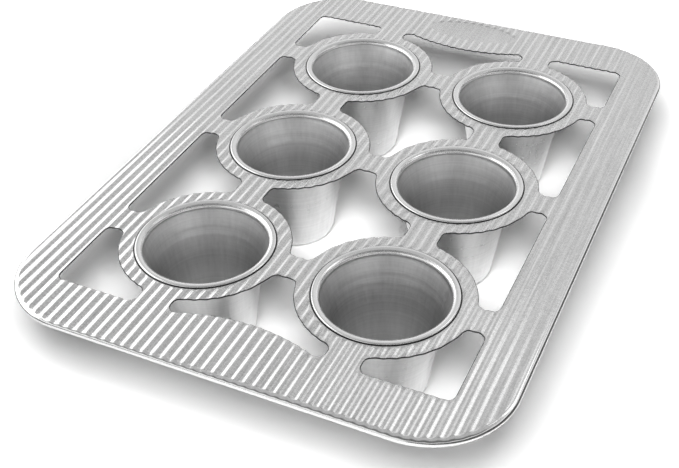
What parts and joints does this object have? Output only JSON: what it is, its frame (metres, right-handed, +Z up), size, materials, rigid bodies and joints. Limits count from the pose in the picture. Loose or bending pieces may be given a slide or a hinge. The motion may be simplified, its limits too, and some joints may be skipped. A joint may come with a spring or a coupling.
{
  "type": "popover pan",
  "caption": "Popover pan: ribbed, perforated sheet frame with a rolled wire rim, holding deep tapered cups seamed into its holes.",
  "frame": {"origin": "centre of the pan in plan, at the level of the cup bottoms that it stands on", "axes": "+Z up out of the cups, +Y along the pan's long side towards the blank oval panel, +X to the right"},
  "size_m": [0.2804, 0.4, 0.0667],
  "materials": {
    "frame_sheet": "satin aluminised steel sheet, ribbed",
    "cup_sheet": "satin aluminised steel, deep drawn",
    "rim_wire": "bright drawn steel wire"
  },
  "bodies": {
    "root": {"frame_plate": "frame_sheet", "rim_wire": "rim_wire", "cup_front_left": "cup_sheet", "cup_front_right": "cup_sheet", "cup_middle_left": "cup_sheet", "cup_middle_right": "cup_sheet", "cup_back_left": "cup_sheet", "cup_back_right": "cup_sheet"}
  },
  "joints": []
}
